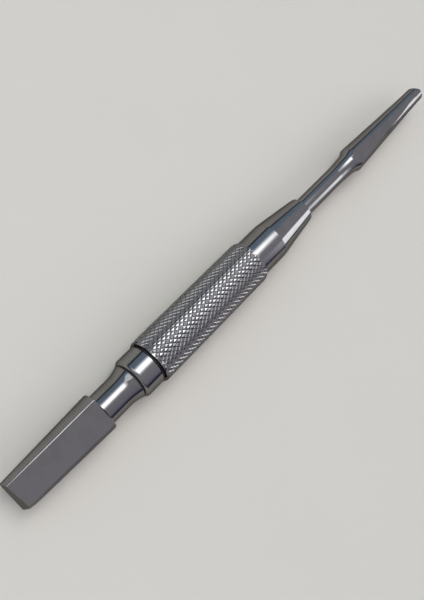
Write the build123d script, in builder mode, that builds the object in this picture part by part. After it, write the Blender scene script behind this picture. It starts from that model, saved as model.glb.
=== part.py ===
from build123d import *
import os

# Double-ended cuticle pusher: a knurled metal grip on a core tube, with a wide blade screwed
# into its rear end and a slim pusher screwed into its nose.
# X runs along the tool from the wide blade (-X) to the slim tip (+X), and Z is square to the
# blade's flats. The origin is the middle of the tool, on its axis. Millimetres throughout.

os.makedirs("parts", exist_ok=True)

# ---- lengths along the tool, from the wide blade's end to the slim tip ----
blade_length = 21.6
stem_length = 8.0
blade_seal_thickness = 0.4
collar_length = 4.6
spacer_width = 0.5
grip_length = 31.3
nose_length = 7.2
cone_length = 11.0
tip_seal_thickness = 0.4
rod_length = 19.3
tip_length = 28.7

# ---- wide blade: a tapered bar, round at its sides, with two flats ----
blade_end_half_width = 3.53
blade_end_round_height = 2.79
blade_end_upper_flat = 1.75
blade_end_lower_flat = 1.0
blade_root_half_width = 4.22
blade_root_round_height = 4.41
blade_root_flat = 3.05
blade_edge_round = 0.25
blade_root_round = 0.12
bevel_half_span = 2.75
bevel_short_side = 0.38
bevel_long_side = 0.8
corner_ease_length = 3.2
corner_ease_depth = 0.55
stem_radius = 3.4
stem_flare_length = 3.6

# ---- handle, with the radii that step out from the core tube ----
core_radius = 3.2
stem_seat_radius = core_radius + 0.75
collar_radius = stem_seat_radius + 0.58
collar_shoulder = 0.8
collar_front_chamfer = 0.15
spacer_radius = core_radius + 1.0
grip_radius = 5.0
grip_end_chamfer = 0.12
nose_radius = 4.4
nose_edge_chamfer = 0.12
cone_end_radius = 3.0
core_seat_depth = 6.0
core_relief_radius = 1.5
core_tapped_length = 9.5
slip_clearance = 0.02

# ---- slim pusher: a rod that flares into a tapered tip with two flats ----
rod_radius = 2.15
rod_flare_length = 6.4
rod_flare_radius = 2.5
shoulder_length = 1.3
tip_base_radius = 3.07
tip_waist_radius = 2.03
tip_waist_offset = 0.28
tip_waist_distance = 22.3
tip_end_radius = 1.84
tip_end_offset = 0.38
tip_flat_height = 2.56
tip_flat_drop = 0.55
tip_cut_length = 1.2
tip_cut_depth = 1.6
tip_edge_round = 0.15

# ---- screw threads, turned as rings at their real pitch ----
thread_clearance = 0.06
thread_turns = 10
blade_thread_radius = 2.0
blade_thread_pitch = 0.7
blade_thread_depth = 0.38
tip_thread_radius = 1.75
tip_thread_pitch = 0.6
tip_thread_depth = 0.32
neck_length = 1.0
neck_relief = 0.4
mouth_clearance = 0.25

# ---- seal rings ----
seal_clearance = 0.08
blade_seal_recess = 0.12
tip_seal_radius = 2.5

# ---- places along X that follow from the lengths ----
total_length = (
    blade_length + stem_length + blade_seal_thickness + collar_length + spacer_width
    + grip_length + nose_length + cone_length + tip_seal_thickness + rod_length + tip_length
)
blade_end_x = -total_length / 2
blade_root_x = blade_end_x + blade_length
stem_seat_x = blade_root_x + stem_length
collar_x = stem_seat_x + blade_seal_thickness
spacer_x = collar_x + collar_length
grip_x = spacer_x + spacer_width
nose_x = grip_x + grip_length
cone_x = nose_x + nose_length
tip_seal_x = cone_x + cone_length
rod_x = tip_seal_x + tip_seal_thickness
tip_base_x = rod_x + rod_length
tip_end_x = tip_base_x + tip_length
core_end_x = nose_x + core_seat_depth
core_fit_radius = core_radius + slip_clearance
blade_bore_radius = blade_thread_radius + thread_clearance
tip_bore_radius = tip_thread_radius + thread_clearance


def thread_points(start_x, direction, radius, pitch, depth):
    """Crest and root points of a ring thread, from its first root outwards along X."""
    points = []
    for turn in range(thread_turns):
        root_x = start_x + direction * turn * pitch
        points.append((root_x, radius - depth))
        points.append((root_x + direction * pitch * 0.42, radius))
        points.append((root_x + direction * pitch * 0.58, radius))
    end_x = start_x + direction * thread_turns * pitch
    points.append((end_x, radius - depth))
    return points


# ---- wide blade with its stem and threaded tail ----
blade_neck_x = collar_x + neck_length
blade_thread = thread_points(
    blade_neck_x, 1, blade_thread_radius, blade_thread_pitch, blade_thread_depth
)
blade_neck_radius = blade_thread_radius - neck_relief
blade_tail_end_x = blade_thread[-1][0]
flare_start_x = stem_seat_x - stem_flare_length
flare_middle = (
    stem_seat_x - stem_flare_length * 0.42,
    stem_radius + (stem_seat_radius - stem_radius) * 0.26,
)

with BuildPart() as wide_blade:
    for place, half_width, round_height in (
        (blade_end_x, blade_end_half_width, blade_end_round_height),
        (blade_root_x, blade_root_half_width, blade_root_round_height),
    ):
        with BuildSketch(Plane.YZ.offset(place)):
            Ellipse(half_width, round_height)
    loft()
    # two flats, both thinning towards the end
    for side, end_flat in ((1, blade_end_upper_flat), (-1, blade_end_lower_flat)):
        split(
            bisect_by=Plane(
                origin=(blade_root_x, 0, side * blade_root_flat),
                x_dir=(0, 1, 0),
                z_dir=(end_flat - blade_root_flat, 0, side * blade_length),
            ),
            keep=Keep.BOTTOM,
        )
    # the end is ground back on the upper flat, more towards -Y
    bevel_start = Vector(blade_end_x + bevel_short_side, bevel_half_span, blade_end_upper_flat)
    bevel_finish = Vector(blade_end_x + bevel_long_side, -bevel_half_span, blade_end_upper_flat)
    bevel_foot = Vector(blade_end_x, -bevel_half_span, -blade_end_lower_flat)
    bevel_normal = (bevel_foot - bevel_start).cross(bevel_finish - bevel_start)
    split(
        bisect_by=Plane(
            origin=bevel_start, x_dir=bevel_finish - bevel_start, z_dir=bevel_normal
        ),
        keep=Keep.BOTTOM,
    )
    # the -Y corner of the end is eased
    ease_start = Vector(blade_end_x + corner_ease_length, -blade_end_half_width, 0)
    ease_finish = Vector(blade_end_x, -blade_end_half_width + corner_ease_depth, 0)
    split(
        bisect_by=Plane(
            origin=ease_start,
            x_dir=(0, 0, 1),
            z_dir=(ease_finish - ease_start).cross(Vector(0, 0, -1)),
        ),
        keep=Keep.BOTTOM,
    )
    long_edges = wide_blade.edges().filter_by(lambda edge: edge.length > 0.75 * blade_length)
    fillet(long_edges, radius=blade_edge_round)
    fillet(wide_blade.edges().group_by(Axis.X)[-1], radius=blade_root_round)
    # stem, flare and threaded tail
    with BuildSketch(Plane.XY):
        with BuildLine():
            Line((flare_start_x, stem_radius), (blade_root_x, stem_radius))
            Line((blade_root_x, stem_radius), (blade_root_x, 0))
            Line((blade_root_x, 0), (blade_tail_end_x, 0))
            Line((blade_tail_end_x, 0), blade_thread[-1])
            Polyline(*reversed(blade_thread))
            Polyline(
                blade_thread[0],
                (blade_neck_x, blade_neck_radius),
                (stem_seat_x, blade_neck_radius),
                (stem_seat_x, stem_seat_radius),
            )
            ThreePointArc(
                (stem_seat_x, stem_seat_radius), flare_middle, (flare_start_x, stem_radius)
            )
        make_face()
    revolve(axis=Axis.X)
wide_blade.part.label = "wide_blade"
export_step(wide_blade.part, "parts/wide_blade.step")

# ---- dark seal ring between the blade's seat and the collar ----
with BuildPart() as blade_seal_ring:
    with BuildSketch(Plane.YZ.offset(stem_seat_x)):
        Circle(stem_seat_radius - blade_seal_recess)
        Circle(blade_thread_radius + seal_clearance, mode=Mode.SUBTRACT)
    extrude(amount=blade_seal_thickness)
blade_seal_ring.part.label = "blade_seal_ring"
export_step(blade_seal_ring.part, "parts/blade_seal_ring.step")

# ---- rear collar, pressed on the core tube ----
with BuildPart() as rear_collar:
    with BuildSketch(Plane.XY):
        with BuildLine():
            Polyline(
                (collar_x + collar_shoulder, collar_radius),
                (spacer_x - collar_front_chamfer, collar_radius),
                (spacer_x, collar_radius - collar_front_chamfer),
                (spacer_x, core_fit_radius),
                (collar_x, core_fit_radius),
                (collar_x, stem_seat_radius),
            )
            TangentArc(
                (collar_x + collar_shoulder, collar_radius),
                (collar_x, stem_seat_radius),
                tangent=(-1, 0),
            )
        make_face()
    revolve(axis=Axis.X)
rear_collar.part.label = "rear_collar"
export_step(rear_collar.part, "parts/rear_collar.step")

# ---- dark spacer ring between the collar and the grip ----
with BuildPart() as grip_spacer_ring:
    with BuildSketch(Plane.YZ.offset(spacer_x)):
        Circle(spacer_radius)
        Circle(core_fit_radius, mode=Mode.SUBTRACT)
    extrude(amount=spacer_width)
grip_spacer_ring.part.label = "grip_spacer_ring"
export_step(grip_spacer_ring.part, "parts/grip_spacer_ring.step")

# ---- knurled grip sleeve, its knurl held as the cylinder over its crests ----
with BuildPart() as knurled_grip:
    with BuildSketch(Plane.YZ.offset(grip_x)):
        Circle(grip_radius)
        Circle(core_fit_radius, mode=Mode.SUBTRACT)
    extrude(amount=grip_length)
    rims = knurled_grip.edges().filter_by(GeomType.CIRCLE).group_by(SortBy.RADIUS)[-1]
    chamfer(rims, length=grip_end_chamfer)
knurled_grip.part.label = "knurled_grip"
export_step(knurled_grip.part, "parts/knurled_grip.step")

# ---- core tube: carries the collar, the grip and the nose, tapped at its rear ----
with BuildPart() as core_tube:
    with BuildSketch(Plane.YZ.offset(collar_x)):
        Circle(core_radius)
    extrude(amount=core_end_x - collar_x)
    for depth, radius in (
        (neck_length, blade_bore_radius + mouth_clearance),
        (core_tapped_length, blade_bore_radius),
        (core_end_x - collar_x, core_relief_radius),
    ):
        with BuildSketch(Plane.YZ.offset(collar_x)):
            Circle(radius)
        extrude(amount=depth, mode=Mode.SUBTRACT)
core_tube.part.label = "core_tube"
export_step(core_tube.part, "parts/core_tube.step")

# ---- nose: a short cylinder and a cone, seated on the core tube and tapped for the pusher ----
with BuildPart() as front_nose:
    with BuildSketch(Plane.XY):
        with BuildLine():
            Polyline(
                (nose_x, core_fit_radius),
                (nose_x, nose_radius - nose_edge_chamfer),
                (nose_x + nose_edge_chamfer, nose_radius),
                (cone_x, nose_radius),
                (tip_seal_x, cone_end_radius),
                (tip_seal_x, tip_bore_radius + mouth_clearance),
                (tip_seal_x - neck_length, tip_bore_radius + mouth_clearance),
                (tip_seal_x - neck_length, tip_bore_radius),
                (core_end_x, tip_bore_radius),
                (core_end_x, core_fit_radius),
                close=True,
            )
        make_face()
    revolve(axis=Axis.X)
front_nose.part.label = "front_nose"
export_step(front_nose.part, "parts/front_nose.step")

# ---- dark seal ring between the nose and the slim pusher ----
with BuildPart() as tip_seal_ring:
    with BuildSketch(Plane.YZ.offset(tip_seal_x)):
        Circle(tip_seal_radius)
        Circle(tip_thread_radius + seal_clearance, mode=Mode.SUBTRACT)
    extrude(amount=tip_seal_thickness)
tip_seal_ring.part.label = "tip_seal_ring"
export_step(tip_seal_ring.part, "parts/tip_seal_ring.step")

# ---- slim pusher with its rod and threaded tail ----
tip_neck_x = tip_seal_x - neck_length
tip_thread = thread_points(
    tip_neck_x, -1, tip_thread_radius, tip_thread_pitch, tip_thread_depth
)
tip_neck_radius = tip_thread_radius - neck_relief
tip_tail_end_x = tip_thread[-1][0]
shoulder_x = tip_base_x - shoulder_length
rod_flare_x = tip_base_x - rod_flare_length
rod_flare_middle = (
    (rod_flare_x + shoulder_x) / 2,
    rod_radius + (rod_flare_radius - rod_radius) * 0.3,
)
tip_waist_x = tip_base_x + tip_waist_distance

with BuildPart() as slim_pusher:
    with BuildSketch(Plane.XY):
        with BuildLine():
            Polyline(*tip_thread)
            Polyline(
                tip_thread[0],
                (tip_neck_x, tip_neck_radius),
                (rod_x, tip_neck_radius),
                (rod_x, rod_radius),
                (rod_flare_x, rod_radius),
            )
            ThreePointArc(
                (rod_flare_x, rod_radius), rod_flare_middle, (shoulder_x, rod_flare_radius)
            )
            Polyline(
                (shoulder_x, rod_flare_radius),
                (tip_base_x, tip_base_radius),
                (tip_base_x, 0),
                (tip_tail_end_x, 0),
                tip_thread[-1],
            )
        make_face()
    revolve(axis=Axis.X)
    for start, start_radius, start_offset, finish, finish_radius, finish_offset in (
        (tip_base_x, tip_base_radius, 0, tip_waist_x, tip_waist_radius, tip_waist_offset),
        (tip_waist_x, tip_waist_radius, tip_waist_offset, tip_end_x, tip_end_radius, tip_end_offset),
    ):
        with BuildSketch(Plane.YZ.offset(start)):
            with Locations((start_offset, 0)):
                Circle(start_radius)
        with BuildSketch(Plane.YZ.offset(finish)):
            with Locations((finish_offset, 0)):
                Circle(finish_radius)
        loft(ruled=True)
    # two flats that run out of the tip's round sides near the waist
    for side in (1, -1):
        split(
            bisect_by=Plane(
                origin=(tip_base_x, 0, side * tip_flat_height),
                x_dir=(0, 1, 0),
                z_dir=(tip_flat_drop / tip_waist_distance, 0, side),
            ),
            keep=Keep.BOTTOM,
        )
    # the +Y corner of the end is cut off
    split(
        bisect_by=Plane(
            origin=(tip_end_x, tip_end_offset + tip_end_radius - tip_cut_depth, 0),
            x_dir=(0, 0, 1),
            z_dir=(tip_cut_depth, tip_cut_length, 0),
        ),
        keep=Keep.BOTTOM,
    )
    fillet(slim_pusher.edges().group_by(Axis.X)[-1], radius=tip_edge_round)
slim_pusher.part.label = "slim_pusher"
export_step(slim_pusher.part, "parts/slim_pusher.step")
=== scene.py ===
import math
import bpy
import bmesh
from mathutils import Matrix, Vector


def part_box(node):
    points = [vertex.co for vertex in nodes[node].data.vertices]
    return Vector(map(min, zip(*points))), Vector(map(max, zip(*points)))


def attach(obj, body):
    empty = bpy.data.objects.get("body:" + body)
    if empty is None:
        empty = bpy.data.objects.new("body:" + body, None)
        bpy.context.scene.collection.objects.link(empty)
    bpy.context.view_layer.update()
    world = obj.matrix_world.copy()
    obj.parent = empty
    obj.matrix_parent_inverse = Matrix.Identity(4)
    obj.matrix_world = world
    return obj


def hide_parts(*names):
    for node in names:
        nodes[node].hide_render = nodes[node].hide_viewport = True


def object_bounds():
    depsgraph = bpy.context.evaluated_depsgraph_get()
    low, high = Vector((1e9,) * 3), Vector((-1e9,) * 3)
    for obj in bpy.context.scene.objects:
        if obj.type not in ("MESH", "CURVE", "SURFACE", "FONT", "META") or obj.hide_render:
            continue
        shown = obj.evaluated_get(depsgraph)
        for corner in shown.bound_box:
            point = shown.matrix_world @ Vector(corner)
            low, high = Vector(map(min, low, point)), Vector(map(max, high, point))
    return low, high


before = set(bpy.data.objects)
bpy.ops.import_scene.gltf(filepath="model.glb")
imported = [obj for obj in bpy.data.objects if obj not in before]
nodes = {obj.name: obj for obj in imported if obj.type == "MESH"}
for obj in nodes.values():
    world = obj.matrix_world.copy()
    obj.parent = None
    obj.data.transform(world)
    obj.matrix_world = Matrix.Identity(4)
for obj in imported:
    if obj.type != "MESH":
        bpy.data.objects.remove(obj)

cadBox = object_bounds()
mm = 0.001
print("frame loaded,", len(nodes), "pieces")


# shader helpers

class Sock:
    # a node socket that takes plain arithmetic
    def __init__(self, tree, out):
        self.tree = tree
        self.out = out

    def maths(self, operation, other=None):
        node = self.tree.nodes.new("ShaderNodeMath")
        node.operation = operation
        for place, value in enumerate([self, other]):
            if isinstance(value, Sock):
                self.tree.links.new(value.out, node.inputs[place])
            elif value is not None:
                node.inputs[place].default_value = value
        return Sock(self.tree, node.outputs[0])

    def __add__(self, other):
        return self.maths("ADD", other)

    def __radd__(self, other):
        return self.maths("ADD", other)

    def __sub__(self, other):
        return self.maths("SUBTRACT", other)

    def __mul__(self, other):
        return self.maths("MULTIPLY", other)


class Graph:
    # a node tree, with one method that adds any node
    def __init__(self, tree, shader):
        self.tree = tree
        self.shader = shader

    def add(self, kind, settings=None, out=0, **values):
        node = self.tree.nodes.new(kind)
        for key, value in (settings or {}).items():
            if key == "stops":
                ramp = node.color_ramp
                while len(ramp.elements) < len(value):
                    ramp.elements.new(0.5)
                for element, (place, colour) in zip(ramp.elements, value):
                    element.position = place
                    element.color = (*colour, 1)
            else:
                setattr(node, key, value)
        for key, value in values.items():
            # i6 is the seventh input, and From_Min the input "From Min"
            place = int(key[1:]) if key[1:].isdigit() else key.replace("_", " ")
            if isinstance(value, Sock):
                self.tree.links.new(value.out, node.inputs[place])
            else:
                node.inputs[place].default_value = value
        return Sock(self.tree, node.outputs[out])

    def blend(self, amount, first, second, **settings):
        # two colours mixed by an amount, each a socket or plain numbers
        ends = [end if isinstance(end, Sock) else (*end, 1) for end in (first, second)]
        return self.add("ShaderNodeMix", {"data_type": "RGBA", **settings}, out=2,
                        i0=amount, i6=ends[0], i7=ends[1])

    def fade(self, value, start, finish, smooth=True, **ends):
        # from 0 to 1, or to the ends given, as the value goes from start to finish
        kind = "SMOOTHSTEP" if smooth else "LINEAR"
        return self.add("ShaderNodeMapRange", {"interpolation_type": kind}, Value=value,
                        From_Min=start, From_Max=finish, **ends)

    def feed(self, socket, value):
        target = self.shader.inputs[socket]
        if isinstance(value, Sock):
            self.tree.links.new(value.out, target)
        else:
            target.default_value = value


def newFinish(name):
    mat = bpy.data.materials.new(name)
    mat.use_nodes = True
    made = Graph(mat.node_tree, mat.node_tree.nodes["Principled BSDF"])
    made.mat = mat
    return made


# polished steel

steel = {
    "colour": (0.245, 0.24, 0.235),
    "stain": (0.19, 0.185, 0.18),
    "edge": (0.35, 0.34, 0.32),     # colour at grazing angles
    "roughness": 0.055,
    "hairRoughness": 0.04,      # added by the polishing hairs
    "stainRoughness": 0.10,
    "speckRoughness": 0.2,
    "grainAcross": 5200,        # polishing hairs, per metre across and along
    "grainAlong": 160,
    "grainDepth": 0.012,
    "speckScale": 900,
    "speckDepth": 0.02,
    "stainScale": 260,
    "waveScale": 90,        # slow waves left by hand polishing
    "waveDepth": 0.05,
    "bumpStrength": 0.35,
    "bumpHeight": 0.1 * mm,
}


def polishedSteel(name, tint=1.0, roughen=0.0, grain="along", wave=1.0):
    made = newFinish(name)
    place = made.add("ShaderNodeTexCoord", out=3)
    along, across = steel["grainAlong"], steel["grainAcross"]
    stretch = (along, across, across) if grain == "along" else (across, along, along)
    grainPlace = made.add("ShaderNodeMapping", Vector=place, Scale=stretch)
    hairs = made.add("ShaderNodeTexNoise", Vector=grainPlace, Scale=1.0, Detail=3.0, Roughness=0.6)
    specks = made.add(
        "ShaderNodeTexVoronoi", {"feature": "F1"}, Vector=place, Scale=steel["speckScale"]
    )
    speckMask = made.fade(specks, 0.10, 0.05, smooth=False)
    cloud = made.add(
        "ShaderNodeTexNoise", Vector=place, Scale=steel["stainScale"], Detail=4.0, Roughness=0.65
    )
    soft = made.add("ShaderNodeTexNoise", Vector=place, Scale=steel["waveScale"], Detail=1.0)
    stainMask = made.fade(cloud, 0.45, 0.75, smooth=False, To_Max=0.6)
    base = tuple(part * tint for part in steel["colour"])
    stain = tuple(part * tint for part in steel["stain"])
    made.feed("Base Color", made.blend(stainMask, base, stain))
    made.feed("Metallic", 1.0)
    made.feed("Specular Tint", (*steel["edge"], 1))
    rough = steel["roughness"] + roughen + hairs * steel["hairRoughness"]
    rough = rough + stainMask * steel["stainRoughness"] + speckMask * steel["speckRoughness"]
    made.feed("Roughness", rough)
    height = hairs * steel["grainDepth"] + soft * (steel["waveDepth"] * wave)
    height = height + speckMask * steel["speckDepth"]
    bump = made.add(
        "ShaderNodeBump", Strength=steel["bumpStrength"], Distance=steel["bumpHeight"], Height=height
    )
    made.feed("Normal", bump)
    return made.mat


# black rubber

rubber = {
    "colour": (0.004, 0.004, 0.005),
    "dust": (0.018, 0.017, 0.018),
    "roughness": 0.55,
    "roughSpread": 0.2,
    "gritScale": 3000,
    "gritHeight": 0.02 * mm,
    "dustScale": 400,
}


def blackRubber(name):
    made = newFinish(name)
    place = made.add("ShaderNodeTexCoord", out=3)
    grit = made.add("ShaderNodeTexNoise", Vector=place, Scale=rubber["gritScale"], Detail=2.0)
    cloud = made.add("ShaderNodeTexNoise", Vector=place, Scale=rubber["dustScale"], Detail=3.0)
    made.feed("Base Color", made.blend(cloud, rubber["colour"], rubber["dust"]))
    made.feed("Roughness", rubber["roughness"] + grit * rubber["roughSpread"])
    bump = made.add("ShaderNodeBump", Strength=0.4, Distance=rubber["gritHeight"], Height=grit)
    made.feed("Normal", bump)
    return made.mat


bladeSteel = polishedSteel("bladeSteel", tint=0.95)
turnedSteel = polishedSteel("turnedSteel", grain="across", wave=0.6)
gripSteel = polishedSteel("gripSteel", tint=1.05, roughen=0.05)
coreSteel = polishedSteel("coreSteel", roughen=0.18, grain="across")
sealRubber = blackRubber("sealRubber")
print("finishes made")


def paint(piece, mat):
    piece.data.materials.clear()
    piece.data.materials.append(mat)


for nodeName, mat in {
    "wide_blade": bladeSteel, "slim_pusher": bladeSteel, "rear_collar": turnedSteel,
    "front_nose": turnedSteel, "core_tube": coreSteel, "knurled_grip": gripSteel,
    "blade_seal_ring": sealRubber, "grip_spacer_ring": sealRubber, "tip_seal_ring": sealRubber,
}.items():
    paint(nodes[nodeName], mat)
print("pieces painted")


# knurled grip

knurl = {
    "aroundCount": 32,      # teeth round the grip
    "pitch": 1.33 * mm,     # tooth length along the grip
    "crest": 0.13 * mm,     # height of the sharp crest over the grip's own radius
    "groove": 0.17 * mm,    # depth of the groove under it
    "crestWear": 0.42 * mm,     # how far each crest is worn to a flat
}


def pickOut(piece, kind, wanted):
    # selects, in edit mode, the vertices, edges or faces that the test wants
    bpy.ops.mesh.select_mode(type=kind)
    bpy.ops.mesh.select_all(action="DESELECT")
    mesh = bmesh.from_edit_mesh(piece.data)
    for part in {"VERT": mesh.verts, "EDGE": mesh.edges, "FACE": mesh.faces}[kind]:
        part.select_set(wanted(part))
    mesh.select_flush_mode()
    bmesh.update_edit_mesh(piece.data)


def outFromAxis(vert):
    return math.hypot(vert.co.y, vert.co.z)


def makeKnurl():
    low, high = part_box("knurled_grip")
    radius = (high.z - low.z) / 2
    length = high.x - low.x
    middle = ((low.x + high.x) / 2, 0, 0)
    rings = 2 * round(length / knurl["pitch"]) - 1
    columns = 2 * knurl["aroundCount"]
    step = length / (rings + 1)
    turn = 2 * math.pi / columns
    sharp = radius + knurl["crest"]
    deep = radius - knurl["groove"]
    bpy.ops.object.select_all(action="DESELECT")
    bpy.ops.mesh.primitive_cylinder_add(
        vertices=columns, radius=sharp, depth=length, end_fill_type="NGON",
        location=middle, rotation=(0, math.pi / 2, 0),
    )
    grip = bpy.context.object
    grip.name = "grip_knurl"
    bpy.ops.object.transform_apply(location=True, rotation=True, scale=True)
    bpy.ops.object.mode_set(mode="EDIT")

    # rings are cut across the edges that run the grip's length
    def runsAlong(edge):
        return abs(edge.verts[0].co.x - edge.verts[1].co.x) > length / 2

    pickOut(grip, "EDGE", runsAlong)
    bpy.ops.mesh.subdivide(number_cuts=rings)

    # every other crossing of the grid is a groove crossing and sinks, and so do the rims
    def sinks(vert):
        ring = round((vert.co.x - low.x) / step)
        column = round(math.atan2(vert.co.z, vert.co.y) / turn)
        return ring in (0, rings + 1) or (ring + column) % 2 == 0

    pickOut(grip, "VERT", sinks)
    bpy.ops.transform.resize(value=(1, deep / sharp, deep / sharp), center_override=middle)

    # each quad is split along its groove
    pickOut(grip, "FACE", lambda face: len(face.verts) == 4)
    bpy.ops.mesh.quads_convert_to_tris(quad_method="SHORTEST_DIAGONAL", ngon_method="BEAUTY")

    # crests are worn to small flats
    pickOut(grip, "VERT", lambda vert: outFromAxis(vert) > (sharp + deep) / 2)
    bpy.ops.mesh.bevel(offset=knurl["crestWear"], segments=1, affect="VERTICES")

    # the worn crests are brought to the grip's own radius
    bpy.ops.mesh.select_all(action="SELECT")
    mesh = bmesh.from_edit_mesh(grip.data)
    fit = radius / max(outFromAxis(vert) for vert in mesh.verts)
    bpy.ops.transform.resize(value=(1, fit, fit), center_override=middle)
    bpy.ops.object.mode_set(mode="OBJECT")
    paint(grip, gripSteel)
    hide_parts("knurled_grip")
    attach(grip, "handle")
    print("knurl made,", len(grip.data.polygons), "faces")


makeKnurl()


# floor, sky and lamp

studio = {
    "floorSize": 3.0,
    "floorColour": (0.66, 0.63, 0.55),
    "floorMottle": 0.97,        # how dark the darker patches are
    "floorRoughness": 0.8,
    "horizon": (0.60, 0.59, 0.56),
    "overhead": (0.56, 0.55, 0.61),
    "leftSky": (0.34, 0.46, 0.61),
    "rightSky": (0.43, 0.42, 0.54),
    "leftEdge": (0.030, 0.045, 0.075),
    "rightEdge": (0.040, 0.035, 0.085),
    "boxColour": (0.93, 0.96, 1.0),
    "topBoxAngle": 0.36,        # radians from overhead towards +Y
    "topBoxSpread": 0.54,
    "topBoxStrength": 6.0,
    "sideBoxAngle": -0.92,
    "sideBoxSpread": (0.42, 0.27),      # where it starts and where it is full
    "sideBoxStrength": 2.8,
    "lampPlace": (-0.25, 0.35, 0.5),
    "lampSize": 0.35,
    "lampPower": 0.5,
}


def makeFloor():
    low = cadBox[0]
    bpy.ops.object.select_all(action="DESELECT")
    bpy.ops.mesh.primitive_plane_add(size=studio["floorSize"], location=(0, 0, low.z))
    floor = bpy.context.object
    floor.name = "floor"
    made = newFinish("paleFloor")
    place = made.add("ShaderNodeTexCoord", out=3)
    mottle = made.add("ShaderNodeTexNoise", Vector=place, Scale=40.0, Detail=3.0)
    pale = studio["floorColour"]
    darker = tuple(part * studio["floorMottle"] for part in pale)
    made.feed("Base Color", made.blend(mottle, pale, darker))
    made.feed("Roughness", studio["floorRoughness"])
    made.feed("Specular IOR Level", 0.1)
    paint(floor, made.mat)


def makeWorld():
    world = bpy.data.worlds.new("studioSky")
    world.use_nodes = True
    bpy.context.scene.world = world
    sky = Graph(world.node_tree, world.node_tree.nodes["Background"])
    way = sky.add("ShaderNodeTexCoord", out=0)
    alongX, acrossY, upZ = (
        sky.add("ShaderNodeSeparateXYZ", Vector=way, out=part) for part in range(3)
    )
    angle = acrossY.maths("ARCTAN2", upZ)

    # bands of sky run along the tool, from the horizon at -Y over to the horizon at +Y
    across = sky.fade(angle, -1.6, 1.6, smooth=False)
    stops = [
        (0.05, studio["horizon"]), (0.065, studio["rightEdge"]), (0.10, studio["rightEdge"]),
        (0.20, studio["rightSky"]), (0.42, studio["overhead"]), (0.64, studio["overhead"]),
        (0.76, studio["leftSky"]), (0.86, studio["leftSky"]), (0.915, studio["leftEdge"]),
        (0.935, studio["leftEdge"]), (0.95, studio["horizon"]),
    ]
    bands = sky.add("ShaderNodeValToRGB", {"stops": stops}, Fac=across)

    # the bands fade out where they would meet, in line with the tool
    inLine = sky.fade(alongX.maths("ABSOLUTE"), 0.78, 0.93)
    dome = sky.blend(inLine, bands, studio["overhead"])

    # a light box over the rear half, and one low at -Y over the front half
    fromTop = (angle - studio["topBoxAngle"]).maths("ABSOLUTE")
    topAcross = sky.fade(fromTop, studio["topBoxSpread"], 0.0)
    topAlong = sky.fade(alongX, 0.60, 0.45) * sky.fade(alongX, -0.12, 0.12)
    topBox = topAcross * topAcross * topAlong * studio["topBoxStrength"]
    fromSide = (angle - studio["sideBoxAngle"]).maths("ABSOLUTE")
    sideAcross = sky.fade(fromSide, *studio["sideBoxSpread"])
    sideBox = sideAcross * sky.fade(alongX, 0.48, 0.64) * studio["sideBoxStrength"]
    light = sky.blend(
        topBox + sideBox, dome, studio["boxColour"], blend_type="ADD", clamp_factor=False
    )
    sky.feed("Color", light)
    sky.feed("Strength", 1.0)


def makeLamp():
    lamp = bpy.data.lights.new("softLamp", "AREA")
    lamp.shape = "SQUARE"
    lamp.size = studio["lampSize"]
    lamp.energy = studio["lampPower"]
    place = Vector(studio["lampPlace"])
    holder = bpy.data.objects.new("softLamp", lamp)
    holder.location = place
    holder.rotation_mode = "QUATERNION"
    holder.rotation_quaternion = (-place).to_track_quat("-Z", "Y")      # aimed at the origin
    bpy.context.scene.collection.objects.link(holder)


# camera

shot = {
    "sensor": 36,
    "focal": 780,           # in the same measure as the picture's long side
    "longSide": 600,
    "distance": 158.9 * mm,
    "toCamera": (-0.4226, 0.2039, 0.8831),
    "aimX": -12.4 * mm,     # where the middle of the view meets the axis
    "lean": 45.1,           # degrees from level to the tool's axis in the picture
    "drop": 0.12 * mm,      # how far the axis passes above the middle
}


def makeCamera():
    data = bpy.data.cameras.new("camera")
    data.sensor_width = shot["sensor"]
    data.sensor_fit = "AUTO"
    data.lens = shot["sensor"] * shot["focal"] / shot["longSide"]
    data.clip_start = 0.001
    camera = bpy.data.objects.new("camera", data)
    back = Vector(shot["toCamera"]).normalized()
    along = (Vector((1, 0, 0)) - back * back.x).normalized()
    across = back.cross(along)
    lean = math.radians(shot["lean"])
    right = along * math.cos(lean) - across * math.sin(lean)
    up = along * math.sin(lean) + across * math.cos(lean)
    turn = Matrix((right, up, back)).transposed()
    centre = Vector((shot["aimX"], 0, 0)) - across * shot["drop"]
    camera.matrix_world = Matrix.Translation(centre + back * shot["distance"]) @ turn.to_4x4()
    bpy.context.scene.collection.objects.link(camera)
    bpy.context.scene.camera = camera


makeFloor()
makeWorld()
makeLamp()
makeCamera()
bpy.context.scene.view_settings.view_transform = "Standard"
print("floor, sky, lamp and camera made")
